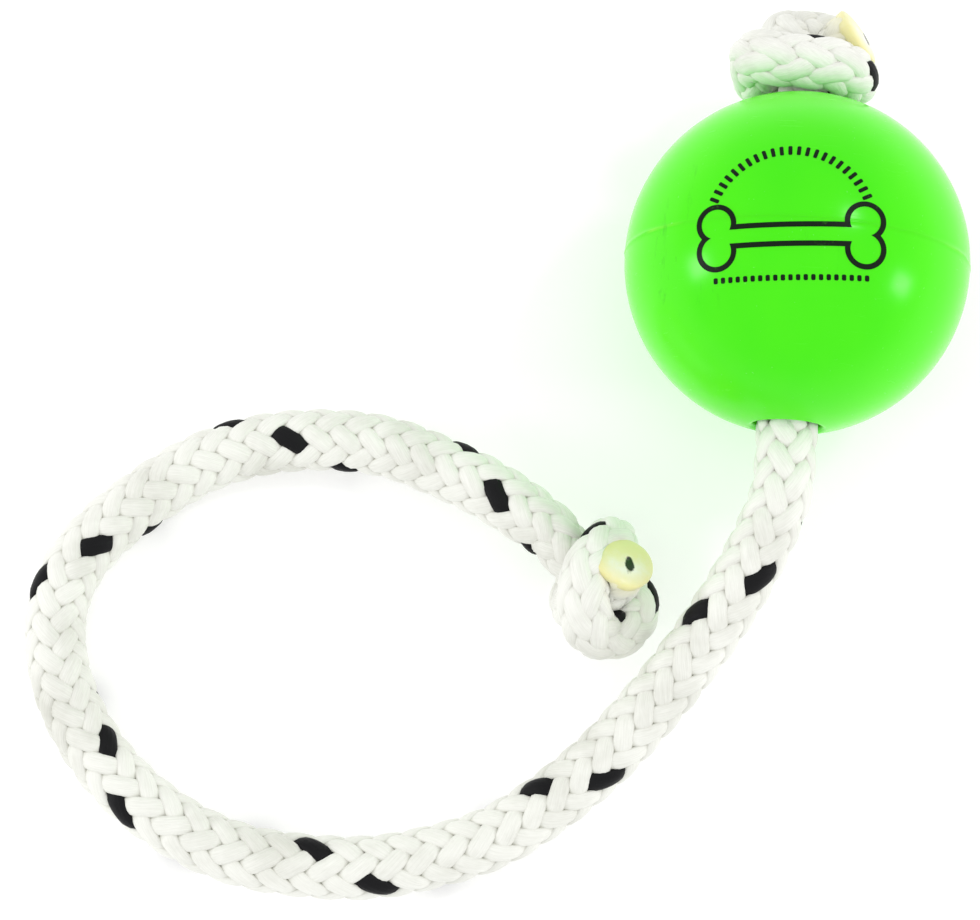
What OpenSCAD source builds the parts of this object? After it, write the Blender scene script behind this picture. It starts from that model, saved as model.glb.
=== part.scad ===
// Training ball on a rope. The ball holds pressed steel so that a magnet catches it anywhere.
// A braided rope runs through it, with a stop knot behind the ball and a grip knot at the free end.
// The ball stands on Z = 0 and touches it at the origin. Its bore runs along Y, and the rope
// leaves it towards -Y.

/* [Ball] */
// Diameter of the ball, measured over its weld line
ball_d = 68; // [60:1:72]
// Thickness of the soft shell
shell_wall = 7; // [6:0.5:8]
// Diameter of the hole at each mouth
mouth_d = 13.2; // [13:0.1:13.8]
// Radius of the rounded edge at each mouth
mouth_round = 1; // [0.5:0.25:2]
// Height of the weld line that stands round the middle
seam_height = 0.15; // [0.05:0.05:0.3]
// Width of the weld line
seam_width = 0.8; // [0.4:0.1:1.2]

/* [Inside the ball] */
// Thickness of the pressed steel cups
steel_wall = 1; // [0.6:0.1:1.5]
// Wall of the sleeve that lines the bore
sleeve_wall = 1.35; // [1.2:0.05:1.6]
// Depth of the pocket in each shell that holds the sleeve's end
sleeve_pocket = 3; // [2:0.25:4]
// Gap all round between pieces that slide or turn on each other
running_gap = 0.08; // [0.05:0.01:0.1]
// Gap between pieces that are packed together inside the ball
packing_gap = 0.1; // [0.05:0.05:0.2]

/* [Rope] */
// Diameter of the rope
rope_d = 12.5; // [12:0.1:12.6]
// Diameter that the rope is squeezed to inside the knots
knot_rope_d = 10.8; // [10:0.2:11]
// Thickness of the melted cap at each cut end
melt_thickness = 1.5; // [1:0.25:2.5]
// Sides of the free rope's section
rope_sides = 12; // [8:2:12]
// Rings of the free rope between two points of its route
rings_per_leg = 2; // [1:1:3]

/* [Hidden] */
$fn = 96;
knot_fn = 14;

ball_r = ball_d / 2;
skin_r = ball_r - seam_height;
rope_r = rope_d / 2;
knot_r = knot_rope_d / 2;
mouth_r = mouth_d / 2;
shell_inner_r = skin_r - shell_wall;
cup_outer_r = shell_inner_r - packing_gap;
cup_inner_r = cup_outer_r - steel_wall;
core_r = cup_inner_r - packing_gap;
sleeve_bore_r = rope_r + running_gap;
sleeve_r = sleeve_bore_r + sleeve_wall;
sleeve_seat_r = sleeve_r + running_gap;
inner_hole_r = sleeve_seat_r + packing_gap;
sleeve_half = shell_inner_r + sleeve_pocket - packing_gap;
seat_half = shell_inner_r + sleeve_pocket;
rope_end_y = ball_r;
ball_centre = [0, 0, ball_r];

// Free rope: centre line from the ball's mouth down to the ground and round to the grip knot.
rope_route = [
    [0, -34, 34], [0, -40, 34], [-0.5, -46.5, 33.5], [-4, -57, 30], [-9, -67.5, 26],
    [-15, -77.5, 21], [-22, -87.5, 16.5], [-30.5, -98, 12], [-40, -107, 8.5], [-51, -115, 6.8],
    [-63.5, -120, 6.3], [-76, -123, 6.3], [-89.5, -123.5, 6.3], [-103, -122, 6.3],
    [-116, -117, 6.3], [-128, -108.5, 6.3], [-137, -97.5, 6.3], [-142, -86, 6.3],
    [-143, -76, 6.3], [-140.5, -67, 6.3], [-135, -59, 6.3], [-126.5, -51, 6.3],
    [-116, -43.5, 6.3], [-104.5, -39, 6.3], [-92, -37, 6.3], [-79.5, -37.5, 6.6],
    [-68, -41, 8], [-56.5, -46, 10.5], [-45, -53, 12.5]
];

// Stop knot: an overhand knot drawn tight against the ball's far mouth.
stop_route = [
    [0, 34.5, 34], [0, 38.5, 34], [-2.5, 42, 34.5], [-5, 45.5, 33.5], [-3.5, 48, 30.5],
    [0.5, 48.5, 29.5], [5, 48, 29], [8.5, 44.5, 29], [9.5, 40.5, 30], [9, 39, 34],
    [7.5, 39, 38], [4.5, 39, 41], [0.5, 39, 42], [-4, 39, 42], [-8, 39.5, 41.5],
    [-10.5, 40.5, 38.5], [-10, 39.5, 34.5], [-9, 39, 30], [-6.5, 39, 27], [-2, 39.5, 26],
    [2, 40.5, 27], [4.5, 42, 30.5], [6, 44.5, 34], [9.5, 47, 36]
];

// Grip knot: an overhand knot at the free end, its tail standing out past the last turn.
grip_route = [
    [-45, -53, 12.5], [-42, -56, 13], [-38.5, -59.5, 13], [-33, -62, 12], [-28, -65, 11],
    [-26.5, -68.5, 12], [-29, -72.5, 14.5], [-33.5, -74, 18], [-36, -72, 21.5], [-37, -68, 23.5],
    [-36.5, -63, 23], [-34.5, -59, 21], [-32.5, -56.5, 17.5], [-32, -55, 13], [-33, -56, 8.5],
    [-35.5, -59, 5.5], [-37.5, -63.5, 6], [-38, -67, 9], [-37.5, -68, 13.5],
    [-34.5, -66.5, 17], [-31.5, -63.5, 20], [-29.5, -60.5, 24.5]
];

function unit(v) = v / norm(v);
function last(list) = list[len(list) - 1];

// Smooth curve through four neighbouring points, from the second to the third.
function blend(a, b, c, d, t) = 0.5 * (2 * b + (c - a) * t + (2 * a - 5 * b + 4 * c - d) * t * t
                                + (3 * b - a - 3 * c + d) * t * t * t);
function smooth(route, steps) = [
    for (i = [0 : len(route) - 2])
        let (a = i > 0 ? route[i - 1] : 2 * route[0] - route[1],
             d = i < len(route) - 2 ? route[i + 2] : 2 * last(route) - route[i])
        for (k = [0 : steps - 1]) blend(a, route[i], route[i + 1], d, k / steps),
    last(route)
];

// Direction of a line of points at point i, by the points on each side of it.
function heading(line, i) =
    unit(line[min(i + 1, len(line) - 1)] - line[max(i - 1, 0)]);

// Level ring of the swept tube. Its last point is straight below the centre line.
function ring(centre, along, radius, sides) =
    let (side = unit(cross(along, [0, 0, 1])), up = cross(side, along))
    [for (k = [0 : sides - 1])
        centre + radius * (cos(360 * k / sides - 90) * side + sin(360 * k / sides - 90) * up)];

module swept_tube(line, first_heading, last_heading, radius, sides) {
    ends = len(line) - 1;
    points = [for (i = [0 : ends])
        each ring(line[i], i == 0 ? first_heading : i == ends ? last_heading : heading(line, i),
                  radius, sides)];
    walls = [for (i = [0 : ends - 1]) for (k = [0 : sides - 1])
        let (a = i * sides + k, b = i * sides + (k + 1) % sides)
        each [[a, b, b + sides], [a, b + sides, a + sides]]];
    near_cap = [for (k = [1 : sides - 2]) [0, k + 1, k]];
    far_cap = [for (k = [1 : sides - 2]) ends * sides * [1, 1, 1] + [0, k, k + 1]];
    polyhedron(points, concat(walls, near_cap, far_cap));
}

// Turns +Z to point along a direction.
module aim(at, direction) {
    tilt = acos(direction.z);
    turn = atan2(direction.y, direction.x);
    translate(at) rotate([0, tilt, turn]) children();
}

// Rope pulled into a knot. It starts on a flat face at the route's first point.
module knotted_rope(route) {
    line = smooth(route, 1);
    start = unit(route[1] - route[0]);
    steps = len(line) - 1;
    difference() {
        for (i = [0 : steps - 1]) hull() {
            translate(line[i]) sphere(knot_radius(i), $fn = knot_fn);
            translate(line[i + 1]) sphere(knot_radius(i + 1), $fn = knot_fn);
        }
        aim(route[0], -start) cylinder(h = 3 * rope_r, r = 2 * rope_r, $fn = knot_fn);
        tail = unit(last(route) - route[len(route) - 2]);
        aim(last(route), tail) cylinder(h = 3 * rope_r, r = 2 * rope_r, $fn = knot_fn);
    }
}

// The rope narrows from its own radius to the squeezed one over the first two points.
function knot_radius(i) = i == 0 ? rope_r : i == 1 ? (rope_r + knot_r) / 2 : knot_r;

// Cut end of the rope, melted to a domed cap.
module melted_cap(route) {
    tail = unit(last(route) - route[len(route) - 2]);
    dome_r = (knot_r * knot_r + melt_thickness * melt_thickness) / (2 * melt_thickness);
    aim(last(route), tail) intersection() {
        cylinder(h = melt_thickness, r = knot_r);
        translate([0, 0, melt_thickness - dome_r]) sphere(dome_r);
    }
}

// Half of the ball's soft shell about its own centre, pole towards +Z, open side at Z = 0.
module half_shell() {
    rim_r = mouth_r + mouth_round;
    rim_z = sqrt(pow(skin_r - mouth_round, 2) - rim_r * rim_r);
    difference() {
        union() {
            sphere(skin_r);
            cylinder(h = seam_width, r = ball_r, center = true);
        }
        sphere(shell_inner_r);
        cylinder(h = 2 * ball_r, r = mouth_r, center = true);
        cylinder(h = 2 * seat_half, r = sleeve_seat_r, center = true);
        mouth_flare(rim_r, rim_z);
        translate([0, 0, -2 * ball_r]) cube(4 * ball_r, center = true);
    }
}

// Cutter that rounds the mouth's outer edge to a quarter circle.
module mouth_flare(rim_r, rim_z) {
    rotate_extrude() difference() {
        translate([0, rim_z]) square([rim_r, ball_r]);
        translate([rim_r, rim_z]) circle(mouth_round);
    }
}

module half_cup() {
    difference() {
        sphere(cup_outer_r);
        sphere(cup_inner_r);
        cylinder(h = 2 * ball_r, r = inner_hole_r, center = true);
        translate([0, 0, -2 * ball_r]) cube(4 * ball_r, center = true);
    }
}

// Puts a piece made round its own Z axis on the ball's bore, its top towards the stop knot.
module on_bore(towards_knot = true) {
    translate(ball_centre) rotate([towards_knot ? -90 : 90, 0, 0]) children();
}

module shell_knot_side() { color([0.3, 0.95, 0.05]) on_bore(true) half_shell(); }
module shell_rope_side() { color([0.35, 1, 0.1]) on_bore(false) half_shell(); }
module steel_cup_knot_side() { color("silver") on_bore(true) half_cup(); }
module steel_cup_rope_side() { color("darkgray") on_bore(false) half_cup(); }

module foam_core() {
    color("dimgray") on_bore() difference() {
        sphere(core_r);
        cylinder(h = 2 * ball_r, r = inner_hole_r, center = true);
    }
}

module rope_sleeve() {
    color("gainsboro") on_bore() difference() {
        cylinder(h = 2 * sleeve_half, r = sleeve_r, center = true);
        cylinder(h = 2 * ball_r, r = sleeve_bore_r, center = true);
    }
}

module rope_in_ball() {
    color("ivory") translate([0, -rope_end_y, ball_r]) rotate([-90, 0, 0])
        cylinder(h = rope_end_y + stop_route[0].y, r = rope_r);
}

module free_rope() {
    color("white") swept_tube(smooth(rope_route, rings_per_leg), [0, -1, 0],
                              unit(grip_route[1] - grip_route[0]), rope_r, rope_sides);
}

module stop_knot() { color("white") knotted_rope(stop_route); }
module grip_knot() { color("white") knotted_rope(grip_route); }
module stop_knot_melted_end() { color("khaki") melted_cap(stop_route); }
module grip_knot_melted_end() { color("khaki") melted_cap(grip_route); }

shell_knot_side();
shell_rope_side();
steel_cup_knot_side();
steel_cup_rope_side();
foam_core();
rope_sleeve();
rope_in_ball();
free_rope();
stop_knot();
stop_knot_melted_end();
grip_knot();
grip_knot_melted_end();
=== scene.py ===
"""Training ball on a braided rope: camera, rope, ball, printed mark, materials and light."""
import math

import bpy
import numpy as np
from mathutils import Matrix, Vector


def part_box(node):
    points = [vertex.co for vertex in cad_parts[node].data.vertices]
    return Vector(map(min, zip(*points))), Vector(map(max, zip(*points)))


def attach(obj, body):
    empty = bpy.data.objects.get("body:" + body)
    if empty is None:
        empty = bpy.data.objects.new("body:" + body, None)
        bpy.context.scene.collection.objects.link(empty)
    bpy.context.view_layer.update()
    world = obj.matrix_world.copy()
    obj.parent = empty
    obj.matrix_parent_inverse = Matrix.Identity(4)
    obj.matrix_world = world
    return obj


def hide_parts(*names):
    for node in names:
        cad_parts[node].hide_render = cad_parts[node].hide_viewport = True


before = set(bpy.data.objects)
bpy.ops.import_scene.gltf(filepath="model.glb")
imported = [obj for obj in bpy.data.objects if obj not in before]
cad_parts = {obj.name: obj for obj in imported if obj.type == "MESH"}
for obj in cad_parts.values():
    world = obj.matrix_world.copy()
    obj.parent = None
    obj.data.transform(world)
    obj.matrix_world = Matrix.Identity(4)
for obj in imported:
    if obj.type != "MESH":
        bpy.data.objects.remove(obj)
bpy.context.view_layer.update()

MM = 0.001

# ---------------------------------------------------------------- sizes, from the frame
SHELL_LOW, SHELL_HIGH = (Vector(corner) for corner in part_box("shell_rope_side"))
BALL_R = (SHELL_HIGH.x - SHELL_LOW.x) / 2
BALL_CENTRE = Vector((0, 0, (SHELL_HIGH.z + SHELL_LOW.z) / 2))
SEAM_HEIGHT = 0.15 * MM
SEAM_HALF_WIDTH = 0.4 * MM
# Above this height over the ball's centre the weld line is rubbed flat, over this much rise.
SEAM_RUBBED_FROM = 18 * MM
SEAM_RUBBED_OVER = 6 * MM
SKIN_R = BALL_R - SEAM_HEIGHT
WALL = 7 * MM
SHELL_INNER_R = SKIN_R - WALL
MOUTH_R = 6.6 * MM
MOUTH_ROUND = 1 * MM
SLEEVE_LOW, SLEEVE_HIGH = (Vector(corner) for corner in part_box("rope_sleeve"))
SLEEVE_SEAT_R = (SLEEVE_HIGH.x - SLEEVE_LOW.x) / 2 + 0.08 * MM
SLEEVE_SEAT_HALF = (SLEEVE_HIGH.y - SLEEVE_LOW.y) / 2 + 0.1 * MM

ROPE_D = 12.5 * MM
ROPE_R = ROPE_D / 2
FREE_ROPE_R = 6.45 * MM
BORE_ROPE_R = 6.2 * MM
KNOT_ROPE_R = 5.6 * MM
TAIL_R = 6.3 * MM
TAIL_LENGTH = 6 * MM
# The rope's two pieces meet this far inside the mouth.
PARTING_DEPTH = 3 * MM
# The heat that sealed a cut end has reached this far along the yarn.
MELT_REACH = 5 * MM

STRANDS_EACH_WAY = 8
LAY_LENGTH = 50 * MM
STRAND_WIDTH = 4.1 * MM
STRAND_THICKNESS = 1.8 * MM
STRAND_RISE = 0.7 * MM
# How abruptly a strand goes from over to under, and how much it narrows underneath.
CROSSING_SHARPNESS = 1.6
UNDER_NARROWING = 0.06
LINE_STEPS = 24
LINE_SPACING = 0.8 * MM
RING_SPACING = 0.9 * MM
SECTION_POINTS = 13

# ---------------------------------------------------------------- rope route, millimetres
STOP_KNOT_ROUTE = [
    (0, 34.5, 34), (0, 38.5, 34), (-2.5, 42, 34.5), (-5, 45.5, 33.5), (-3.5, 48, 30.5),
    (0.5, 48.5, 29.5), (5, 48, 29), (8.5, 44.5, 29), (9.5, 40.5, 30), (9, 39, 34),
    (7.5, 39, 38), (4.5, 39, 41), (0.5, 39, 42), (-4, 39, 42), (-8, 39.5, 41.5),
    (-10.5, 40.5, 38.5), (-10, 39.5, 34.5), (-9, 39, 30), (-6.5, 39, 27), (-2, 39.5, 26),
    (2, 40.5, 27), (4.5, 42, 30.5), (6, 44.5, 34), (9.5, 47, 36),
]
BORE_ROUTE = [(0, 20, 34), (0, 0, 34), (0, -20, 34)]
FREE_ROPE_ROUTE = [
    (0, -34, 34), (0, -40, 34), (-0.5, -46.5, 33.5), (-4, -57, 30), (-9, -67.5, 26),
    (-15, -77.5, 21), (-22, -87.5, 16.5), (-30.5, -98, 12), (-40, -107, 8.5), (-51, -115, 6.8),
    (-63.5, -120, 6.3), (-76, -123, 6.3), (-89.5, -123.5, 6.3), (-103, -122, 6.3),
    (-116, -117, 6.3), (-128, -108.5, 6.3), (-137, -97.5, 6.3), (-142, -86, 6.3),
    (-143, -76, 6.3), (-140.5, -67, 6.3), (-135, -59, 6.3), (-126.5, -51, 6.3),
    (-116, -43.5, 6.3), (-104.5, -39, 6.3), (-92, -37, 6.3), (-79.5, -37.5, 6.6),
    (-68, -41, 8), (-56.5, -46, 10.5),
]
GRIP_KNOT_ROUTE = [
    (-45, -53, 12.5), (-42, -56, 13), (-38.5, -59.5, 13), (-33, -62, 12), (-28, -65, 11),
    (-26.5, -68.5, 12), (-29, -72.5, 14.5), (-33.5, -74, 18), (-36, -72, 21.5), (-37, -68, 23.5),
    (-36.5, -63, 23), (-34.5, -59, 21), (-32.5, -56.5, 17.5), (-32, -55, 13), (-33, -56, 8.5),
    (-35.5, -59, 5.5), (-37.5, -63.5, 6), (-38, -67, 9), (-37.5, -68, 13.5),
    (-34.5, -66.5, 17), (-31.5, -63.5, 20), (-29.5, -60.5, 24.5),
]


# ---------------------------------------------------------------- camera
def make_camera():
    """Long lens, nearly overhead, the ball at the upper right."""
    turn, rise = math.radians(4.3), math.radians(79.5)
    back = Vector((math.sin(turn) * math.cos(rise), -math.cos(turn) * math.cos(rise),
                   math.sin(rise)))
    right = Vector((math.cos(turn), math.sin(turn), 0))
    up = back.cross(right)
    place = BALL_CENTRE - 0.0604 * right - 0.0387 * up + 0.520 * back
    data = bpy.data.cameras.new("camera")
    data.lens = 96.8
    data.sensor_width = 36
    data.clip_start = 0.01
    camera = bpy.data.objects.new("camera", data)
    rows = Matrix((right, up, back)).transposed().to_4x4()
    camera.matrix_world = Matrix.Translation(place) @ rows
    bpy.context.scene.collection.objects.link(camera)
    bpy.context.scene.camera = camera


# ---------------------------------------------------------------- rope centre line
def smooth_line(route, steps):
    """Smooth curve through every point of a route."""
    points = [Vector(p) * MM for p in route]
    points = [2 * points[0] - points[1]] + points + [2 * points[-1] - points[-2]]
    line = []
    for a, b, c, d in zip(points, points[1:], points[2:], points[3:]):
        for k in range(steps):
            t = k / steps
            line.append(0.5 * (2 * b + (c - a) * t + (2 * a - 5 * b + 4 * c - d) * t ** 2
                               + (3 * b - a - 3 * c + d) * t ** 3))
    line.append(points[-2])
    return np.array([tuple(p) for p in line])


def even_line(line, spacing):
    """Points at an even spacing along a line, with the length at each one."""
    legs = np.linalg.norm(np.diff(line, axis=0), axis=1)
    length = np.concatenate([[0], np.cumsum(legs)])
    along = np.linspace(0, length[-1], int(round(length[-1] / spacing)) + 1)
    points = np.column_stack([np.interp(along, length, line[:, k]) for k in range(3)])
    return points, along


def length_at(points, along, place):
    """Length along the rope at the point nearest to a place."""
    gaps = np.linalg.norm(points - np.array(place) * MM, axis=1)
    return float(along[int(np.argmin(gaps))])


def rope_radius(along, marks):
    """Outer radius of the rope: snug in the bore, fuller when free, squeezed in the knots."""
    tail, grip_tail = TAIL_LENGTH, marks["end"] - TAIL_LENGTH
    places = [0, tail, marks["pole"] - 7 * MM, marks["pole"], marks["mouth"] + 10 * MM,
              marks["mouth"] + 40 * MM, marks["grip"] - 7 * MM, marks["grip"] + 7 * MM,
              grip_tail, marks["end"]]
    radii = [TAIL_R, KNOT_ROPE_R, KNOT_ROPE_R, BORE_ROPE_R, BORE_ROPE_R, FREE_ROPE_R, FREE_ROPE_R,
             KNOT_ROPE_R, KNOT_ROPE_R, TAIL_R]
    return np.interp(along, places, radii)


def lay_turns(along, marks):
    """Turns that the strands have made: the lay tightens towards the far side of the loop."""
    places = [marks["mouth"] + 130 * MM, marks["mouth"] + 185 * MM, marks["grip"],
              marks["grip"] + 20 * MM]
    ahead_mm = [14.9, 13.2, 24.7, 28]
    return (along + np.interp(along, places, ahead_mm) * MM) / LAY_LENGTH


def melt_share(along, marks):
    """How far the heat that sealed the cut ends has yellowed the yarn: 1 at each end."""
    places = [1 * MM, MELT_REACH, marks["end"] - MELT_REACH, marks["end"] - 1 * MM]
    return np.interp(along, places, [1, 0, 0, 1])


def rope_roll(along, marks):
    """Slow roll of the whole rope about its own centre line, in radians."""
    places = [marks["pole"], marks["mouth"], marks["mouth"] + 190 * MM,
              marks["mouth"] + 280 * MM, marks["grip"], marks["grip"] + 20 * MM]
    degrees = [-85, -40, -45, -78, -78, -90]
    return np.radians(np.interp(along, places, degrees))


# ---------------------------------------------------------------- node tree helpers
class NodeBuilder:
    """Adds nodes to a node tree and joins their sockets."""

    def __init__(self, tree):
        self.tree = tree

    def put(self, socket, value):
        if isinstance(value, bpy.types.NodeSocket):
            self.tree.links.new(value, socket)
        else:
            socket.default_value = value

    def node(self, kind, settings=None, **values):
        """A node; values go to the inputs with those names, spaces written as underscores."""
        node = self.tree.nodes.new(kind)
        for key, value in (settings or {}).items():
            setattr(node, key, value)
        for key, value in values.items():
            names = [s for s in node.inputs if s.enabled and s.name == key.replace("_", " ")]
            self.put(names[0], value)
        return node

    def operation(self, kind, operation, values):
        """First output of a maths node whose inputs take the values in order."""
        node = self.node(kind, {"operation": operation})
        for socket, value in zip(node.inputs, values):
            self.put(socket, value)
        return node.outputs[0]

    def math(self, operation, *values):
        return self.operation("ShaderNodeMath", operation, values)


class Shape(NodeBuilder):
    """A geometry node tree being built."""

    def __init__(self, name, inputs):
        super().__init__(bpy.data.node_groups.new(name, "GeometryNodeTree"))
        face = self.tree.interface
        face.new_socket("Geometry", in_out="OUTPUT", socket_type="NodeSocketGeometry")
        face.new_socket("Geometry", in_out="INPUT", socket_type="NodeSocketGeometry")
        for label, kind in inputs:
            face.new_socket(label, in_out="INPUT", socket_type="NodeSocket" + kind)
        self.inputs = self.node("NodeGroupInput").outputs
        self.result = self.node("NodeGroupOutput").inputs["Geometry"]

    def vector(self, operation, *values):
        return self.operation("ShaderNodeVectorMath", operation, values)

    def scale(self, vector, factor):
        node = self.node("ShaderNodeVectorMath", {"operation": "SCALE"}, Vector=vector,
                         Scale=factor)
        return node.outputs[0]

    def store(self, geometry, name, value, kind="FLOAT", domain="POINT"):
        node = self.node("GeometryNodeStoreNamedAttribute", {"data_type": kind, "domain": domain},
                         Geometry=geometry, Name=name, Value=value)
        return node.outputs["Geometry"]

    def sample(self, path, name, length):
        """Value of a path's own attribute at a length along it."""
        node = self.node("GeometryNodeSampleCurve", {"mode": "LENGTH"}, Curves=path,
                         Value=self.named(name), Length=length)
        return node.outputs["Value"]

    def named(self, name, kind="FLOAT"):
        node = self.node("GeometryNodeInputNamedAttribute", {"data_type": kind}, Name=name)
        return node.outputs["Attribute"]


def grown(source, tree, name, **values):
    """Plain mesh object that a geometry node tree makes from a source object."""
    modifier = source.modifiers.new(name, "NODES")
    modifier.node_group = tree
    for item in tree.interface.items_tree:
        key = item.name.lower().replace(" ", "_")
        if item.in_out == "INPUT" and key in values:
            modifier[item.identifier] = values[key]
    bpy.context.view_layer.update()
    evaluated = source.evaluated_get(bpy.context.evaluated_depsgraph_get())
    mesh = bpy.data.meshes.new_from_object(evaluated)
    mesh.name = name
    source.modifiers.remove(modifier)
    return add_object(name, mesh)


# ---------------------------------------------------------------- braid
def braid_tree():
    """Strands laid both ways round a path, each over two and under two of the other hand."""
    tree = Shape("braided strands", [
        ("Start", "Float"), ("End", "Float"), ("Rings", "Int"), ("Section Points", "Int"),
        ("Strands Each Way", "Int"), ("Lay Length", "Float"),
        ("Strand Width", "Float"), ("Strand Thickness", "Float"), ("Rise", "Float"),
        ("Marker Strand", "Int"), ("Yarn", "Material"), ("Marker Yarn", "Material")])
    given = tree.inputs
    each_way = given["Strands Each Way"]

    grid = tree.node("GeometryNodeMeshGrid", Size_X=1.0, Size_Y=1.0, Vertices_X=given["Rings"],
                     Vertices_Y=given["Section Points"])
    sheet = tree.store(grid.outputs["Mesh"], "UVMap", grid.outputs["UV Map"], "FLOAT2", "CORNER")
    seeds = tree.node("GeometryNodeMeshLine", Count=tree.math("MULTIPLY", each_way, 2.0))
    placed = tree.node("GeometryNodeInstanceOnPoints", Points=seeds.outputs["Mesh"],
                       Instance=sheet)
    index = tree.node("GeometryNodeInputIndex").outputs[0]
    placed = tree.store(placed.outputs["Instances"], "strand", index, "INT", "INSTANCE")
    strands = tree.node("GeometryNodeRealizeInstances", Geometry=placed).outputs["Geometry"]

    # Where this vertex is: along the strand, and round the strand's own section.
    path = tree.node("GeometryNodeMeshToCurve", Mesh=given["Geometry"]).outputs["Curve"]
    strand = tree.named("strand", "INT")
    place = tree.node("ShaderNodeSeparateXYZ", Vector=tree.node("GeometryNodeInputPosition").outputs[0])
    share = tree.math("ADD", place.outputs["X"], 0.5)
    reach = tree.math("SUBTRACT", given["End"], given["Start"])
    along = tree.math("MULTIPLY_ADD", share, reach, given["Start"])
    section = tree.math("MULTIPLY", place.outputs["Y"], math.tau)
    first_hand = tree.math("LESS_THAN", strand, each_way)
    hand = tree.math("MULTIPLY_ADD", first_hand, 2.0, -1.0)
    step = tree.math("DIVIDE", math.tau, each_way)
    order = tree.math("MULTIPLY", tree.math("FLOORED_MODULO", strand, each_way), step)
    shift = tree.math("MULTIPLY", tree.math("SUBTRACT", 1.0, first_hand),
                      tree.math("MULTIPLY", step, 0.5))
    turns = tree.sample(path, "lay_turns", along)
    twist = tree.math("MULTIPLY", turns, math.tau)
    angle = tree.math("MULTIPLY_ADD", twist, hand, tree.math("ADD", order, shift))

    # Over or under: the hand on top changes from one column of the rope to the next.
    column = tree.math("COSINE", tree.math("MULTIPLY", angle, tree.math("MULTIPLY", each_way, 0.5)))
    on_top = tree.math("TANH", tree.math("MULTIPLY", tree.math("MULTIPLY", column, hand),
                                       CROSSING_SHARPNESS))

    # The section is an oval, wider on top, and closes to a point at each end of the strand.
    inside = tree.math("LESS_THAN", tree.math("ABSOLUTE", place.outputs["X"]), 0.49999)
    swell = tree.math("MULTIPLY", tree.math("MULTIPLY_ADD", on_top, UNDER_NARROWING,
                                           1 - UNDER_NARROWING), inside)
    half_width = tree.math("MULTIPLY", tree.math("MULTIPLY", given["Strand Width"], 0.5), swell)
    half_thick = tree.math("MULTIPLY", tree.math("MULTIPLY", given["Strand Thickness"], 0.5), inside)
    across = tree.math("MULTIPLY", half_width, tree.math("COSINE", section))
    outward = tree.math("MULTIPLY", half_thick, tree.math("SINE", section))

    whole = tree.sample(path, "rope_radius", along)
    sunk = tree.math("MULTIPLY", given["Rise"], tree.math("SUBTRACT", 1.0, on_top))
    centre_r = tree.math("SUBTRACT", tree.math("SUBTRACT", whole, sunk),
                         tree.math("MULTIPLY", given["Strand Thickness"], 0.5))
    slant = tree.math("ARCTAN2", tree.math("MULTIPLY", centre_r, math.tau), given["Lay Length"])
    aside = tree.math("MULTIPLY", tree.math("MULTIPLY", across, tree.math("SINE", slant)), hand)
    own_along = tree.math("SUBTRACT", along, aside)
    spread = tree.math("DIVIDE", tree.math("MULTIPLY", across, tree.math("COSINE", slant)), centre_r)
    own_angle = tree.math("ADD", tree.math("ADD", angle, spread), tree.sample(path, "roll", along))

    spot = tree.node("GeometryNodeSampleCurve", {"mode": "LENGTH"}, Curves=path, Length=own_along)
    tangent, normal = spot.outputs["Tangent"], spot.outputs["Normal"]
    side = tree.vector("CROSS_PRODUCT", tangent, normal)
    radial = tree.vector("ADD", tree.scale(normal, tree.math("COSINE", own_angle)),
                         tree.scale(side, tree.math("SINE", own_angle)))
    distance = tree.math("ADD", centre_r, outward)
    target = tree.vector("ADD", spot.outputs["Position"], tree.scale(radial, distance))

    # How deep the yarn lies below the rope's outside; the yarn colour reads it to paint shade between
    # strands.
    depth = tree.math("SUBTRACT", whole, distance)
    strands = tree.store(strands, "depth", depth)
    strands = tree.store(strands, "along", own_along)
    strands = tree.store(strands, "melt", tree.sample(path, "melt", own_along))
    moved = tree.node("GeometryNodeSetPosition", Geometry=strands, Position=target).outputs["Geometry"]
    joined = tree.node("GeometryNodeMergeByDistance", Geometry=moved, Distance=0.002 * MM)
    flipped = tree.node("GeometryNodeFlipFaces", Mesh=joined.outputs["Geometry"]).outputs["Mesh"]
    shaded = tree.node("GeometryNodeSetMaterial", Geometry=flipped, Material=given["Yarn"])
    same = tree.node("FunctionNodeCompare", {"data_type": "INT", "operation": "EQUAL"},
                     A=strand, B=given["Marker Strand"]).outputs["Result"]
    marked = tree.node("GeometryNodeSetMaterial", Geometry=shaded.outputs["Geometry"],
                       Selection=same, Material=given["Marker Yarn"])
    tree.put(tree.result, marked.outputs["Geometry"])
    return tree.tree


def path_object(points, **values):
    """Line of edges along the rope's centre, with one value per point under each name given."""
    mesh = bpy.data.meshes.new("rope_path")
    edges = [(k, k + 1) for k in range(len(points) - 1)]
    mesh.from_pydata([tuple(p) for p in points], edges, [])
    for name, value in values.items():
        mesh.attributes.new(name, "FLOAT", "POINT").data.foreach_set("value", value)
    return add_object("rope_path", mesh)


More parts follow.
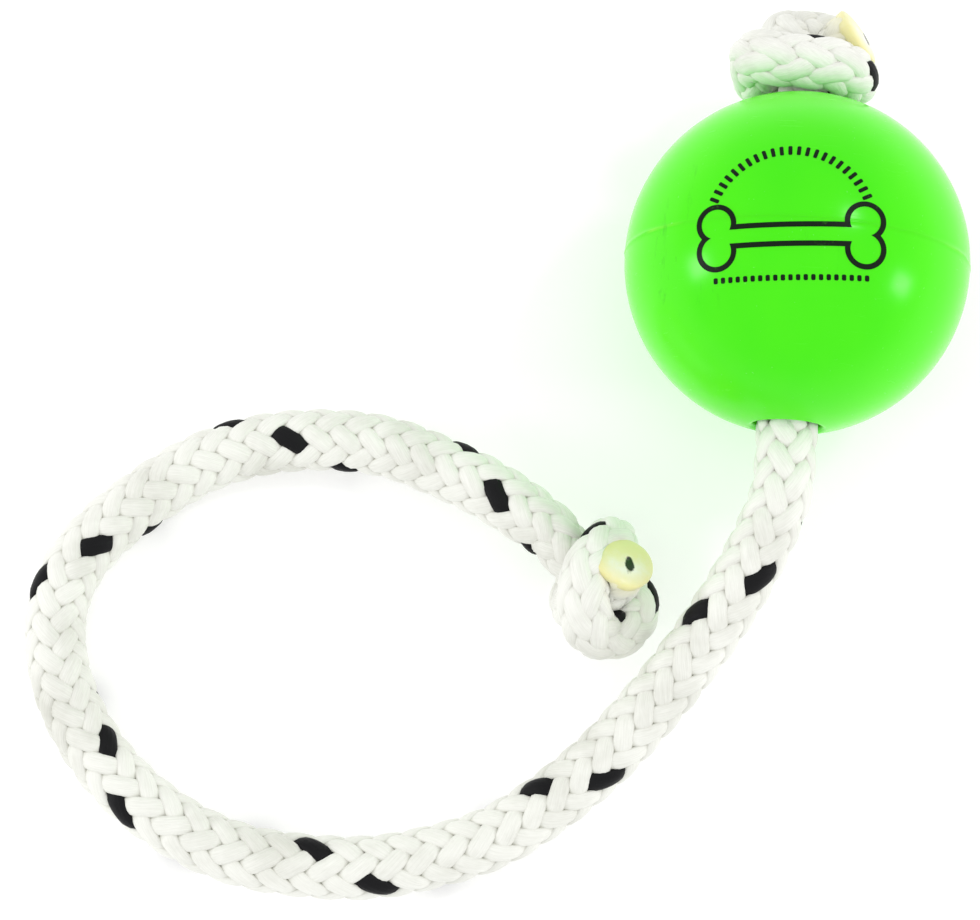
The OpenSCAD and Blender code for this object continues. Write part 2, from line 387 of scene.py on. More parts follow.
def press_turns_together(piece, points, along, ranges):
    """Flattens the rope in a knot where two turns touch, along the plane midway between them."""
    mesh = piece.data
    count = len(mesh.vertices)
    spots = np.empty(count * 3)
    mesh.vertices.foreach_get("co", spots)
    spots = spots.reshape(-1, 3)
    lengths = np.empty(count)
    mesh.attributes["along"].data.foreach_get("value", lengths)
    apart = 13 * MM
    slack = 0.12 * MM
    for low, high in ranges:
        chosen = np.nonzero((lengths >= low - apart) & (lengths <= high + apart))[0]
        reach = (along >= low - apart) & (along <= high + apart)
        line, line_at = points[reach], along[reach]
        for block in np.array_split(chosen, max(1, len(chosen) // 4000)):
            here = spots[block]
            own = np.column_stack([np.interp(lengths[block], line_at, line[:, k]) for k in range(3)])
            gaps = np.linalg.norm(here[:, None, :] - line[None, :, :], axis=2)
            gaps[np.abs(lengths[block][:, None] - line_at[None, :]) < apart] = 1.0
            near = np.argmin(gaps, axis=1)
            other = line[near]
            facing = other - own
            span = np.linalg.norm(facing, axis=1)
            facing /= span[:, None]
            past = np.einsum("ij,ij->i", here - own, facing) - (span / 2 - slack)
            close = (gaps[np.arange(len(block)), near] < 1.5 * ROPE_R) & (past > 0)
            here[close] -= (past[:, None] * facing)[close]
            spots[block] = here
    mesh.vertices.foreach_set("co", spots.ravel())
    mesh.update()


def smooth_faces(piece):
    piece.data.polygons.foreach_set("use_smooth", [True] * len(piece.data.polygons))
    return piece


# ---------------------------------------------------------------- turned pieces
def add_object(name, mesh):
    piece = bpy.data.objects.new(name, mesh)
    bpy.context.scene.collection.objects.link(piece)
    return piece


def arc(centre, radius, start, end, steps):
    """Points (r, height) on an arc, angles in degrees."""
    turns = np.radians(np.linspace(start, end, steps))
    return [(centre[0] + radius * math.cos(t), centre[1] + radius * math.sin(t)) for t in turns]


def turned_mesh(name, profile, steps, ripple=None):
    """Closed mesh from a closed (r, height) profile turned round the Z axis."""
    profile = np.array(profile)
    turns = np.linspace(0, math.tau, steps, endpoint=False)
    count = len(profile)
    verts = np.zeros((steps, count, 3))
    for i, turn in enumerate(turns):
        radius = profile[:, 0] + (ripple(profile, turn) if ripple else 0)
        verts[i] = np.column_stack([radius * math.cos(turn), radius * math.sin(turn), profile[:, 1]])
    faces = []
    for i in range(steps):
        for k in range(count):
            a, b = i * count + k, ((i + 1) % steps) * count + k
            c, d = ((i + 1) % steps) * count + (k + 1) % count, i * count + (k + 1) % count
            faces.append((a, b, c, d))
    mesh = bpy.data.meshes.new(name)
    mesh.from_pydata(verts.reshape(-1, 3).tolist(), [], faces)
    mesh.update()
    return mesh


def half_shell_profile():
    """Outline of one half shell, from the seam over the skin, round the mouth and back inside."""
    lip_r = MOUTH_R + MOUTH_ROUND
    lip_z = math.sqrt((SKIN_R - MOUTH_ROUND) ** 2 - lip_r ** 2)
    lip_slope = math.degrees(math.atan2(lip_z, lip_r))
    skin_start = math.degrees(math.asin(SEAM_HALF_WIDTH / SKIN_R))
    inner_end = math.degrees(math.acos(SLEEVE_SEAT_R / SHELL_INNER_R))
    seam = [(BALL_R - 0.02 * MM, 0), (BALL_R, 0.1 * MM), (BALL_R - 0.02 * MM, 0.22 * MM)]
    skin = arc((0, 0), SKIN_R, skin_start, lip_slope, 72)
    lip = arc((lip_r, lip_z), MOUTH_ROUND, lip_slope, 180, 12)[1:]
    wall = [(MOUTH_R, SLEEVE_SEAT_HALF), (SLEEVE_SEAT_R, SLEEVE_SEAT_HALF)]
    inside = arc((0, 0), SHELL_INNER_R, inner_end, 0, 40)
    return seam + skin + lip + wall + inside


def seam_ripple(top):
    """Weld line that is a little uneven round the ball and rubbed flat under the printed mark."""
    fade_end, fade = SEAM_HALF_WIDTH + 0.05 * MM, 0.15 * MM

    def ripple(profile, turn):
        near = np.clip((fade_end - profile[:, 1]) / fade, 0, 1)
        outer = profile[:, 0] > SHELL_INNER_R + WALL / 2
        height = SKIN_R * math.sin(turn) * top
        rubbed = np.clip((height - SEAM_RUBBED_FROM) / SEAM_RUBBED_OVER, 0, 1)
        uneven = 0.5 * math.sin(9 * turn + 1) + 0.3 * math.sin(23 * turn) + 0.2 * math.sin(41 * turn)
        loss = 0.04 * MM * (1 - uneven) * (1 - rubbed) + 0.95 * SEAM_HEIGHT * rubbed
        return -near * outer * loss
    return ripple


def on_bore(mesh, towards_knot):
    """Puts a mesh turned round Z on the ball's bore, its top towards or away from the stop knot."""
    quarter = Matrix.Rotation(math.radians(-90 if towards_knot else 90), 4, "X")
    mesh.transform(Matrix.Translation(BALL_CENTRE) @ quarter)
    mesh.update()
    return mesh


def make_shell(name, node, towards_knot, material):
    mesh = turned_mesh(name, half_shell_profile(), 192, seam_ripple(-1 if towards_knot else 1))
    shell = smooth_faces(add_object(name, on_bore(mesh, towards_knot)))
    shell.data.set_sharp_from_angle(angle=math.radians(35))
    shell.data.materials.append(material)
    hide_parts(node)
    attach(shell, "ball")


# ---------------------------------------------------------------- melted ends
def make_melted_end(name, node, points, material, seed):
    """Cut end of the rope: a domed cap with an uneven, slightly spread rim."""
    rng = np.random.default_rng(seed)
    waves = [(k, rng.uniform(0, math.tau), rng.uniform(0.4, 1) / k) for k in range(2, 7)]
    rim_r, cap_h, skirt = TAIL_R * 0.98, 1.4 * MM, 2.2 * MM
    dome = [(rim_r * math.cos(t), cap_h * math.sin(t)) for t in np.linspace(0, math.pi / 2 - 0.02, 14)]
    under = [(0.02 * rim_r, -skirt * 0.7), (rim_r * 0.8, -skirt), (rim_r * 0.97, -skirt * 0.55)]
    profile = under + dome

    def uneven(outline, turn):
        wobble = sum(size * math.sin(k * turn + phase) for k, phase, size in waves)
        return outline[:, 0] / rim_r * wobble * 0.55 * MM

    mesh = turned_mesh(name, profile, 64, uneven)
    end, before = Vector(points[-1]), Vector(points[-4])
    outward = (end - before).normalized()
    turn = Vector((0, 0, 1)).rotation_difference(outward).to_matrix().to_4x4()
    mesh.transform(Matrix.Translation(end) @ turn)
    store_uv_round(mesh, end, turn, rim_r)
    cap = smooth_faces(add_object(name, mesh))
    cap.data.materials.append(material)
    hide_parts(node)
    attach(cap, "rope")
    return cap


def store_uv_round(mesh, centre, turn, size):
    """UV map that looks straight down on the cap: 0.5, 0.5 is its middle."""
    layer = mesh.uv_layers.new(name="UVMap")
    back = turn.inverted().to_3x3()
    for loop in mesh.loops:
        flat = back @ (mesh.vertices[loop.vertex_index].co - centre)
        layer.data[loop.index].uv = (0.5 + flat.x / (2.4 * size), 0.5 + flat.y / (2.4 * size))


# ---------------------------------------------------------------- printed mark
PRINT_LIFT = 0.03 * MM
PRINT_NORMAL = Vector((-0.14, -0.10, 0.985)).normalized()


def print_frame():
    """Right, up and outward directions at the middle of the printed mark."""
    out = PRINT_NORMAL
    right = Vector((math.cos(math.radians(4)), math.sin(math.radians(4)), 0))
    up = out.cross(right).normalized()
    return up.cross(out).normalized(), up, out


def print_tree():
    """Rounded bars set evenly along a flat line, square to it, then laid on the ball."""
    tree = Shape("printed bars", [
        ("Bars", "Int"), ("Bar Width", "Float"), ("Bar Height", "Float"), ("Ball Radius", "Float"),
        ("Ball Centre", "Vector"), ("Right", "Vector"), ("Up", "Vector"), ("Out", "Vector"),
        ("Ink", "Material")])
    given = tree.inputs
    line = tree.node("GeometryNodeMeshToCurve", Mesh=given["Geometry"]).outputs["Curve"]
    stations = tree.node("GeometryNodeResampleCurve", Curve=line, Count=given["Bars"])
    block = tree.node("GeometryNodeCurvePrimitiveQuadrilateral", {"mode": "RECTANGLE"},
                      Width=given["Bar Width"], Height=given["Bar Height"])
    rounded = tree.node("GeometryNodeFilletCurve", {"mode": "POLY"}, Curve=block.outputs["Curve"],
                        Radius=tree.math("MULTIPLY", given["Bar Width"], 0.32), Count=3)
    bar = tree.node("GeometryNodeFillCurve", {"mode": "NGONS"}, Curve=rounded.outputs["Curve"])
    facing = tree.node("FunctionNodeAlignRotationToVector", {"axis": "X", "pivot_axis": "Z"},
                       Vector=tree.node("GeometryNodeInputTangent").outputs[0])
    placed = tree.node("GeometryNodeInstanceOnPoints", Points=stations.outputs["Curve"],
                       Instance=bar.outputs["Mesh"], Rotation=facing.outputs["Rotation"])
    bars = tree.node("GeometryNodeRealizeInstances", Geometry=placed.outputs["Instances"])
    flat = tree.node("ShaderNodeSeparateXYZ", Vector=tree.node("GeometryNodeInputPosition").outputs[0])
    x, y = flat.outputs["X"], flat.outputs["Y"]
    square = tree.math("MULTIPLY_ADD", x, x, tree.math("MULTIPLY", y, y))
    reach = tree.math("MULTIPLY", given["Ball Radius"], given["Ball Radius"])
    lift = tree.math("SQRT", tree.math("SUBTRACT", reach, square))
    spot = tree.vector("ADD", given["Ball Centre"], tree.scale(given["Right"], x))
    spot = tree.vector("ADD", spot, tree.scale(given["Up"], y))
    spot = tree.vector("ADD", spot, tree.scale(given["Out"], lift))
    moved = tree.node("GeometryNodeSetPosition", Geometry=bars.outputs["Geometry"], Position=spot)
    inked = tree.node("GeometryNodeSetMaterial", Geometry=moved.outputs["Geometry"],
                      Material=given["Ink"])
    tree.put(tree.result, inked.outputs["Geometry"])
    return tree.tree


def lay_on_ball(flat_points):
    """Points (right, up) in metres round the mark's middle, dropped on to the ball's skin."""
    right, up, out = print_frame()
    reach = SKIN_R + PRINT_LIFT
    laid = []
    for x, y in flat_points:
        x, y = float(x), float(y)
        lift = math.sqrt(reach ** 2 - x * x - y * y)
        laid.append(BALL_CENTRE + x * right + y * up + lift * out)
    return laid


def bone_outline(stroke):
    """Outline of a plain bone, drawn in from the outer edge by a stroke, as (right, up) points."""
    lobe_x, lobe_y, lobe_r, shaft = 13.8, 2.6, 3.8 - stroke, 2.3 - stroke
    join = math.degrees(math.asin((shaft - lobe_y) / lobe_r))
    notch = math.degrees(math.asin(-lobe_y / lobe_r))
    quarter = arc((lobe_x, lobe_y), lobe_r, 180 - join, notch, 40)
    shaft_x = np.linspace(0, quarter[0][0], 16)[:-1]
    right_top = [(x, shaft) for x in shaft_x] + quarter
    right_low = [(x, -y) for x, y in reversed(right_top)]
    left_low = [(-x, -y) for x, y in right_top]
    left_top = [(-x, y) for x, y in reversed(right_top)]
    return [(x * MM, y * MM) for x, y in right_top + right_low + left_low + left_top]


def make_bone(material):
    """Printed outline of a bone."""
    outer = lay_on_ball(bone_outline(0))
    inner = lay_on_ball(bone_outline(1.0))
    count = len(outer)
    faces = [(k, k + count, (k + 1) % count + count, (k + 1) % count) for k in range(count)]
    mesh = bpy.data.meshes.new("printed_bone")
    mesh.from_pydata([tuple(p) for p in outer + inner], [], faces)
    mesh.update()
    finish_print(smooth_faces(add_object("printed_bone", mesh)), material)


def make_bars(name, tree, line, bars, width, height, material):
    """Row of printed bars along a flat line of (right, up) points."""
    right, up, out = print_frame()
    path = path_object([(x, y, 0) for x, y in line])
    row = grown(path, tree, name, bars=bars, bar_width=width, bar_height=height,
                ball_radius=SKIN_R + PRINT_LIFT, ball_centre=BALL_CENTRE, right=right, up=up,
                out=out, ink=material)
    bpy.data.objects.remove(path)
    finish_print(row, material)


def finish_print(piece, material):
    """Inks a printed piece and sets it on the ball."""
    piece.data.materials.clear()
    piece.data.materials.append(material)
    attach(piece, "ball")


# ---------------------------------------------------------------- materials
class Shade(NodeBuilder):
    """A material or shader group being built."""

    def mix(self, factor, a, b):
        """Colour between a and b."""
        node = self.tree.nodes.new("ShaderNodeMix")
        node.data_type = "RGBA"
        self.put(node.inputs[0], factor)
        self.put(node.inputs[6], a)
        self.put(node.inputs[7], b)
        return node.outputs[2]

    def noise(self, vector, scale, detail=3.0, roughness=0.5):
        node = self.node("ShaderNodeTexNoise", Vector=vector, Scale=scale, Detail=detail,
                         Roughness=roughness)
        return node.outputs[0]

    def ramp(self, value, low, high, to_low=0.0, to_high=1.0):
        node = self.node("ShaderNodeMapRange", {"clamp": True}, Value=value, From_Min=low,
                         From_Max=high, To_Min=to_low, To_Max=to_high)
        return node.outputs[0]

    def bump(self, height, strength, distance):
        node = self.node("ShaderNodeBump", Height=height, Strength=strength, Distance=distance)
        return node.outputs[0]

    def group(self, group, **values):
        node = self.node("ShaderNodeGroup", {"node_tree": group})
        for key, value in values.items():
            self.put(node.inputs[key.replace("_", " ")], value)
        return node.outputs

    def place(self):
        return self.node("ShaderNodeTexCoord").outputs["Object"]

    def uv(self):
        return self.node("ShaderNodeUVMap", {"uv_map": "UVMap"}).outputs[0]


def new_material(name, **constants):
    """Material with a Principled surface whose constant sockets are set by name."""
    material = bpy.data.materials.new(name)
    material.use_nodes = True
    surface = material.node_tree.nodes["Principled BSDF"]
    for key, value in constants.items():
        surface.inputs[key.replace("_", " ")].default_value = value
    return material, Shade(material.node_tree), surface.inputs


def new_group(name, inputs, outputs):
    group = bpy.data.node_groups.new(name, "ShaderNodeTree")
    for label, kind, value in inputs:
        socket = group.interface.new_socket(label, in_out="INPUT", socket_type="NodeSocket" + kind)
        if value is not None:
            socket.default_value = value
    for label, kind in outputs:
        group.interface.new_socket(label, in_out="OUTPUT", socket_type="NodeSocket" + kind)
    given = group.nodes.new("NodeGroupInput").outputs
    made = group.nodes.new("NodeGroupOutput").inputs
    return group, Shade(group), given, made


def yarn_group():
    """Fine filaments along each strand of the white and the marker yarn, and painted shade between
    strands.
    """
    group, shade, given, made = new_group(
        "yarn filaments",
        [("Light", "Color", None), ("Shadowed", "Color", None)],
        [("Color", "Color"), ("Roughness", "Float"), ("Normal", "Vector")])
    uv = shade.node("ShaderNodeSeparateXYZ", Vector=shade.uv())
    lengthwise = shade.math("MULTIPLY", uv.outputs[0], 400.0)
    strand = shade.node("ShaderNodeAttribute", {"attribute_name": "strand"}).outputs["Fac"]
    crosswise = shade.math("MULTIPLY", uv.outputs[1], 80.0)
    fibre_place = shade.node("ShaderNodeCombineXYZ", X=shade.math("MULTIPLY", lengthwise, 0.35),
                             Y=crosswise, Z=shade.math("MULTIPLY", strand, 7.3)).outputs[0]
    fibres = shade.noise(fibre_place, 1.0, 2.0, 0.6)
    bundle_place = shade.node("ShaderNodeCombineXYZ", X=shade.math("MULTIPLY", lengthwise, 0.15),
                              Y=shade.math("MULTIPLY", crosswise, 0.22),
                              Z=shade.math("MULTIPLY", strand, 3.1)).outputs[0]
    bundles = shade.noise(bundle_place, 1.0, 2.0, 0.5)
    soil = shade.noise(shade.place(), 60.0, 4.0, 0.6)
    depth = shade.node("ShaderNodeAttribute", {"attribute_name": "depth"}).outputs["Fac"]
    # Painted shade: the yarn darkens towards the Shadowed colour where it lies deep between the
    # strands.
    sunk = shade.ramp(depth, 0.45 * MM, 1.9 * MM)
    streak = shade.ramp(fibres, 0.3, 0.7, 0.0, 0.16)
    grime = shade.math("MULTIPLY", shade.ramp(soil, 0.45, 0.75), 0.3)
    # The stronger of the painted shade between strands and the fibre streaks with grime.
    shade_and_grime = shade.math("MAXIMUM", sunk, shade.math("ADD", streak, grime))
    shade_and_grime = shade.math("MINIMUM", shade_and_grime, 1.0)
    yarn = shade.mix(shade_and_grime, given["Light"], given["Shadowed"])
    melt = shade.node("ShaderNodeAttribute", {"attribute_name": "melt"}).outputs["Fac"]
    melt = shade.math("MULTIPLY", melt, shade.ramp(soil, 0.3, 0.6, 0.45, 0.95))
    shade.put(made["Color"], shade.mix(melt, yarn, (0.80, 0.77, 0.42, 1)))
    shade.put(made["Roughness"], shade.ramp(bundles, 0.3, 0.7, 0.42, 0.62))
    height = shade.math("MULTIPLY_ADD", bundles, 2.2, fibres)
    shade.put(made["Normal"], shade.bump(height, 0.55, 0.12 * MM))
    return group


def scuff_group():
    """Light handling marks, dust and moulded waviness, for the ball and the sleeve."""
    group, shade, given, made = new_group(
        "handled plastic",
        [("Scratch Amount", "Float", 0.5), ("Dust Amount", "Float", 0.2)],
        [("Dust", "Float"), ("Rubbed", "Float"), ("Roughness", "Float"), ("Normal", "Vector")])
    place = shade.place()
    stretched = shade.node("ShaderNodeMapping", {"vector_type": "POINT"}, Vector=place,
                           Rotation=(0.4, 0.9, 0.3), Scale=(1.0, 14.0, 3.0)).outputs[0]
    scratches = shade.ramp(shade.noise(stretched, 90.0, 3.0, 0.7), 0.62, 0.72)
    blotches = shade.noise(place, 55.0, 4.0, 0.6)
    specks = shade.ramp(shade.noise(place, 1400.0, 2.0, 0.5), 0.72, 0.80)
    marks = shade.math("MULTIPLY", scratches, given["Scratch Amount"])
    streaked = shade.node("ShaderNodeMapping", Vector=place, Rotation=(0.3, 0.2, 0.75),
                          Scale=(5.0, 1.0, 1.0)).outputs[0]
    streaks = shade.ramp(shade.noise(streaked, 95.0, 4.0, 0.7), 0.60, 0.72)
    handled = shade.ramp(shade.noise(place, 28.0, 1.0, 0.5), 0.48, 0.66)
    shade.put(made["Rubbed"], shade.math("MULTIPLY", streaks, handled))
    shade.put(made["Dust"], shade.math("MULTIPLY", specks, given["Dust Amount"]))
    base = shade.ramp(blotches, 0.3, 0.7, 0.16, 0.26)
    shade.put(made["Roughness"], shade.math("MULTIPLY_ADD", marks, 0.18, base))
    waves = shade.noise(place, 45.0, 2.0, 0.4)
    grain = shade.noise(place, 900.0, 2.0, 0.5)
    height = shade.math("MULTIPLY_ADD", waves, 6.0, shade.math("MULTIPLY", grain, 0.25))
    height = shade.math("SUBTRACT", height, shade.math("MULTIPLY", marks, 0.3))
    shade.put(made["Normal"], shade.bump(height, 0.35, 0.05 * MM))
    return group


def yarn_material(name, group, light, shadowed, sheen, specular):
    material, shade, surface = new_material(name, Sheen_Weight=sheen, Sheen_Roughness=0.4,
                                            Specular_IOR_Level=specular)
    yarn = shade.group(group, Light=light, Shadowed=shadowed)
    shade.put(surface["Base Color"], yarn["Color"])
    shade.put(surface["Roughness"], yarn["Roughness"])
    shade.put(surface["Normal"], yarn["Normal"])
    return material


def shell_material(group):
    """Soft glossy plastic in bright green, paler where it was welded at the middle, lighter towards the
    outline as a painted reflection.
    """
    material, shade, surface = new_material(
        "bright green plastic", Specular_IOR_Level=0.1, Coat_Weight=0.22, Coat_Roughness=0.2,
        Subsurface_Weight=0.15, Subsurface_Radius=(0.6, 1.0, 0.2), Subsurface_Scale=2 * MM)
    scuff = shade.group(group, Scratch_Amount=0.5, Dust_Amount=0.12)
    place = shade.place()
    axes = shade.node("ShaderNodeSeparateXYZ", Vector=place)
    off_seam = shade.math("ABSOLUTE", axes.outputs[1])
    patchy = shade.ramp(shade.noise(place, 70.0, 3.0, 0.6), 0.42, 0.6)
    seam = shade.math("MULTIPLY", shade.ramp(off_seam, 0.15 * MM, 0.4 * MM, 1.0, 0.0), patchy)
    above = shade.math("SUBTRACT", axes.outputs[2], BALL_CENTRE.z)
    kept = shade.ramp(above, SEAM_RUBBED_FROM, SEAM_RUBBED_FROM + SEAM_RUBBED_OVER, 1.0, 0.0)
    seam = shade.math("MULTIPLY", seam, kept)
    flow = shade.node("ShaderNodeMapping", Vector=place, Scale=(1.0, 0.35, 1.0)).outputs[0]
    swirl = shade.noise(flow, 32.0, 3.0, 0.5)
    deep = (0.050, 0.75, 0.0, 1)
    bright = (0.072, 0.80, 0.001, 1)
    pale = (0.30, 0.90, 0.06, 1)
    body = shade.mix(shade.ramp(swirl, 0.35, 0.7), deep, bright)
    # Painted reflection: the green turns paler towards the ball's outline, where the surface faces away
    # from the view.
    painted_rim_light = shade.node("ShaderNodeLayerWeight", Blend=0.35).outputs["Facing"]
    body = shade.mix(shade.ramp(painted_rim_light, 0.15, 0.75), body, (0.13, 0.88, 0.012, 1))
    body = shade.mix(shade.math("MULTIPLY", seam, 0.7), body, pale)
    body = shade.mix(shade.math("MULTIPLY", scuff["Rubbed"], 0.55), body, (0.03, 0.50, 0.005, 1))
    dusty = shade.mix(scuff["Dust"], body, (0.8, 0.85, 0.75, 1))
    shade.put(surface["Base Color"], dusty)
    shade.put(surface["Roughness"], scuff["Roughness"])
    shade.put(surface["Normal"], scuff["Normal"])
    return material


def ink_material():
    """Black pad-printed ink, a little worn, over the shell."""
    material, shade, surface = new_material("black print", Specular_IOR_Level=0.08)
    wear = shade.noise(shade.place(), 700.0, 4.0, 0.65)
    ink = shade.mix(shade.ramp(wear, 0.62, 0.74, 0.0, 0.5), (0.006, 0.012, 0.006, 1),
                    (0.03, 0.16, 0.01, 1))
    shade.put(surface["Base Color"], ink)
    shade.put(surface["Roughness"], shade.ramp(wear, 0.3, 0.7, 0.3, 0.45))
    shade.put(surface["Normal"], shade.bump(wear, 0.2, 0.02 * MM))
    return material


def melted_material():
    """Rope end melted hard: pale yellow, browner at the rim, with a dark spot off the middle."""
    material, shade, surface = new_material(
        "melted rope", Subsurface_Weight=0.2, Subsurface_Radius=(1.0, 0.8, 0.4),
        Subsurface_Scale=1.5 * MM, Coat_Weight=0.3, Coat_Roughness=0.2)
    uv = shade.uv()
    axes = shade.node("ShaderNodeSeparateXYZ", Vector=uv)
    dx = shade.math("SUBTRACT", axes.outputs[0], 0.5)
    dy = shade.math("SUBTRACT", axes.outputs[1], 0.5)
    wobble = shade.math("MULTIPLY_ADD", shade.noise(uv, 9.0, 3.0, 0.6), 0.12, -0.06)
    reach = shade.math("SQRT", shade.math("ADD", shade.math("MULTIPLY", dx, dx),
                                          shade.math("MULTIPLY", dy, dy)))
    ring = shade.ramp(shade.math("ADD", reach, wobble), 0.2, 0.42)
    spot_x = shade.math("MULTIPLY", shade.math("SUBTRACT", axes.outputs[0], 0.53), 1.7)
    spot_y = shade.math("MULTIPLY", shade.math("SUBTRACT", axes.outputs[1], 0.40), 0.8)
    spot_r = shade.math("SQRT", shade.math("ADD", shade.math("MULTIPLY", spot_x, spot_x),
                                           shade.math("MULTIPLY", spot_y, spot_y)))
    spot = shade.ramp(shade.math("ADD", spot_r, wobble), 0.085, 0.115, 1.0, 0.0)
    stain = shade.ramp(shade.math("MULTIPLY_ADD", wobble, 3.0, axes.outputs[1]), 0.30, 0.62)
    inner = shade.mix(stain, (0.86, 0.85, 0.74, 1), (0.82, 0.78, 0.42, 1))
    body = shade.mix(ring, inner, (0.80, 0.76, 0.36, 1))
    shade.put(surface["Base Color"], shade.mix(spot, body, (0.02, 0.02, 0.018, 1)))
    melt = shade.noise(shade.place(), 420.0, 4.0, 0.6)
    shade.put(surface["Roughness"], shade.ramp(melt, 0.3, 0.7, 0.28, 0.5))
    shade.put(surface["Normal"], shade.bump(melt, 0.6, 0.25 * MM))
    return material


def steel_material():
    """Pressed steel with fine drawing marks round the bore and a few dull spots."""
    material, shade, surface = new_material("pressed steel", Metallic=1.0)
    place = shade.place()
    drawn = shade.node("ShaderNodeMapping", Vector=place, Scale=(1.0, 30.0, 1.0)).outputs[0]
    marks = shade.noise(drawn, 60.0, 4.0, 0.6)
    spots = shade.noise(place, 140.0, 4.0, 0.6)
    shade.put(surface["Base Color"], shade.mix(shade.ramp(spots, 0.5, 0.8), (0.58, 0.58, 0.60, 1),
                                               (0.34, 0.32, 0.30, 1)))
    shade.put(surface["Roughness"], shade.ramp(marks, 0.3, 0.7, 0.25, 0.45))
    shade.put(surface["Normal"], shade.bump(marks, 0.3, 0.03 * MM))
    return material


def foam_material():
    """Dark closed-cell foam."""
    material, shade, surface = new_material("dark foam", Specular_IOR_Level=0.2)
    cells = shade.node("ShaderNodeTexVoronoi", Vector=shade.place(), Scale=900.0).outputs["Distance"]
    tone = shade.noise(shade.place(), 80.0, 3.0, 0.5)
    shade.put(surface["Base Color"], shade.mix(tone, (0.03, 0.03, 0.032, 1), (0.07, 0.07, 0.07, 1)))
    shade.put(surface["Roughness"], shade.ramp(cells, 0.0, 0.6, 0.95, 0.75))
    shade.put(surface["Normal"], shade.bump(cells, 0.8, 0.4 * MM))
    return material


def sleeve_material(group):
    """Plain white plastic tube."""
    material, shade, surface = new_material("white sleeve", Coat_Weight=0.1)
    scuff = shade.group(group, Scratch_Amount=0.8, Dust_Amount=0.3)
    shade.put(surface["Base Color"], shade.mix(scuff["Dust"], (0.78, 0.80, 0.76, 1),
                                               (0.55, 0.55, 0.5, 1)))
    shade.put(surface["Roughness"], scuff["Roughness"])
    shade.put(surface["Normal"], scuff["Normal"])
    return material


def floor_material():
    """Matt white table top, very slightly uneven in tone."""
    material, shade, surface = new_material("white table", Roughness=0.9, Specular_IOR_Level=0.1,
                                            Emission_Color=(1, 1, 1, 1), Emission_Strength=0.27)
    tone = shade.noise(shade.place(), 3.0, 2.0, 0.5)
    shade.put(surface["Base Color"], shade.mix(tone, (0.80, 0.80, 0.80, 1), (0.82, 0.82, 0.82, 1)))
    return material


def dress_node(node, material):
    """Gives a CAD piece that stays a better material."""
    piece = bpy.data.objects[node]
    for slot in piece.material_slots:
        slot.material = material


# ---------------------------------------------------------------- light and table
def make_table():
    mesh = bpy.data.meshes.new("table")
    half = 1.5
    mesh.from_pydata([(-half, -half, 0), (half, -half, 0), (half, half, 0), (-half, half, 0)], [],
                     [(0, 1, 2, 3)])
    table = add_object("table", mesh)
    mesh.materials.append(floor_material())


def softbox(name, place, target, width, height, power):
    data = bpy.data.lights.new(name, "AREA")
    data.shape = "RECTANGLE"
    data.size, data.size_y = width, height
    data.energy = power
    lamp = bpy.data.objects.new(name, data)
    lamp.location = place
    lamp.rotation_euler = (Vector(target) - Vector(place)).to_track_quat("-Z", "Y").to_euler()
    bpy.context.scene.collection.objects.link(lamp)


def make_light():
    world = bpy.data.worlds.new("white room")
    world.use_nodes = True
    world.node_tree.nodes["Background"].inputs["Color"].default_value = (1, 1, 1, 1)
    world.node_tree.nodes["Background"].inputs["Strength"].default_value = 0.98
    bpy.context.scene.world = world
    middle = (-0.04, -0.03, 0.02)
    softbox("softbox_left", (-0.94, -0.17, 0.32), middle, 0.19, 0.24, 1.8)
    softbox("softbox_right", (0.92, -0.21, 0.37), middle, 0.17, 0.22, 1.4)
    softbox("softbox_above", (0.45, 0.32, 0.87), middle, 0.13, 0.11, 1.1)
    bpy.context.scene.view_settings.view_transform = "Standard"


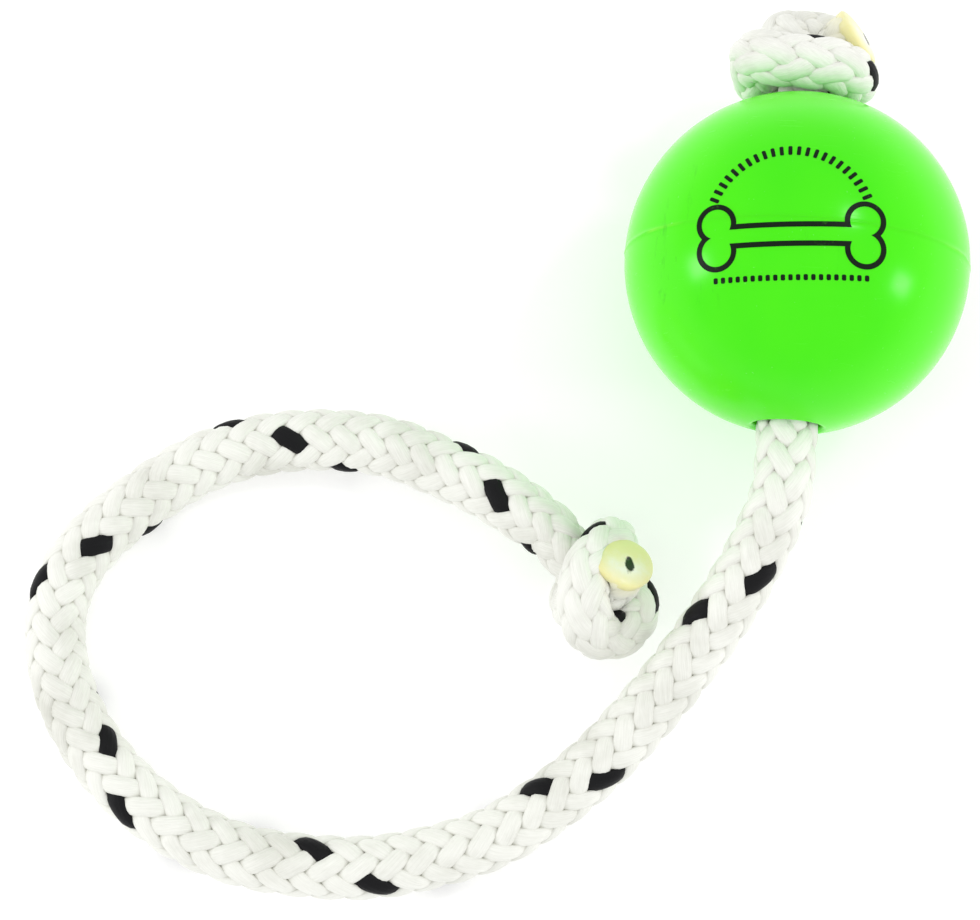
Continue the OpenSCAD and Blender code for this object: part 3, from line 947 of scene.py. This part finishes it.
# ---------------------------------------------------------------- rope
def make_rope(yarn, marker):
    """The whole rope as one braid, in two pieces that part inside the ball's mouth."""
    route = STOP_KNOT_ROUTE[::-1] + BORE_ROUTE + FREE_ROPE_ROUTE + GRIP_KNOT_ROUTE
    points, along = even_line(smooth_line(route, LINE_STEPS), LINE_SPACING)
    marks = {"pole": length_at(points, along, STOP_KNOT_ROUTE[0]),
             "mouth": length_at(points, along, FREE_ROPE_ROUTE[0]),
             "grip": length_at(points, along, GRIP_KNOT_ROUTE[0]), "end": float(along[-1])}
    path = path_object(points, rope_radius=rope_radius(along, marks),
                       lay_turns=lay_turns(along, marks), roll=rope_roll(along, marks),
                       melt=melt_share(along, marks))
    tree = braid_tree()
    settings = {"strands_each_way": STRANDS_EACH_WAY, "lay_length": LAY_LENGTH,
                "strand_width": STRAND_WIDTH, "strand_thickness": STRAND_THICKNESS,
                "rise": STRAND_RISE, "section_points": SECTION_POINTS, "marker_strand": 0,
                "yarn": yarn, "marker_yarn": marker}
    parting = marks["mouth"] - PARTING_DEPTH
    inner = grown(path, tree, "rope_through_ball", start=0.0, end=parting,
                  rings=int(parting / RING_SPACING), **settings)
    outer = grown(path, tree, "free_rope_braid", start=parting, end=marks["end"],
                  rings=int((marks["end"] - parting) / RING_SPACING), **settings)
    bpy.data.objects.remove(path)
    press_turns_together(inner, points, along, [(0.0, marks["pole"])])
    press_turns_together(outer, points, along, [(marks["grip"], marks["end"])])
    for piece in (inner, outer):
        smooth_faces(piece)
        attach(piece, "rope")
    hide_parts("rope_in_ball", "stop_knot")
    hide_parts("free_rope", "grip_knot")
    free = along >= marks["mouth"] - 0.1 * MM
    return points, points[free], outer


make_camera()
yarns = yarn_group()
# The second colour is painted shade for the yarn between strands; fibre streaks and grime also darken
# towards it.
white_yarn = yarn_material("white yarn", yarns, (0.88, 0.885, 0.83, 1), (0.30, 0.30, 0.22, 1),
                           sheen=0.25, specular=0.45)
marker_yarn = yarn_material("black marker yarn", yarns, (0.008, 0.008, 0.009, 1),
                            (0.003, 0.003, 0.003, 1), sheen=0.0, specular=0.12)
rope_points, free_points, free_rope = make_rope(white_yarn, marker_yarn)
melted = melted_material()
grip_end = make_melted_end("grip_knot_melted_cap", "grip_knot_melted_end", rope_points, melted, 3)
make_melted_end("stop_knot_melted_cap", "stop_knot_melted_end", rope_points[::-1], melted, 5)

scuffs = scuff_group()
green = shell_material(scuffs)
make_shell("ball_skin_knot_side", "shell_knot_side", True, green)
make_shell("ball_skin_rope_side", "shell_rope_side", False, green)
ink = ink_material()
make_bone(ink)
bars_tree = print_tree()
make_bars("printed_arc", bars_tree, arc((0, 1 * MM), 15.5 * MM, 156, 24, 60), 23, 0.75 * MM,
          1.9 * MM, ink)
make_bars("printed_row", bars_tree, [(-14 * MM, -8 * MM), (14 * MM, -8 * MM)], 21, 0.8 * MM,
          1.1 * MM, ink)
steel = steel_material()
dress_node("steel_cup_knot_side", steel)
dress_node("steel_cup_rope_side", steel)
dress_node("foam_core", foam_material())
dress_node("rope_sleeve", sleeve_material(scuffs))
make_table()
make_light()
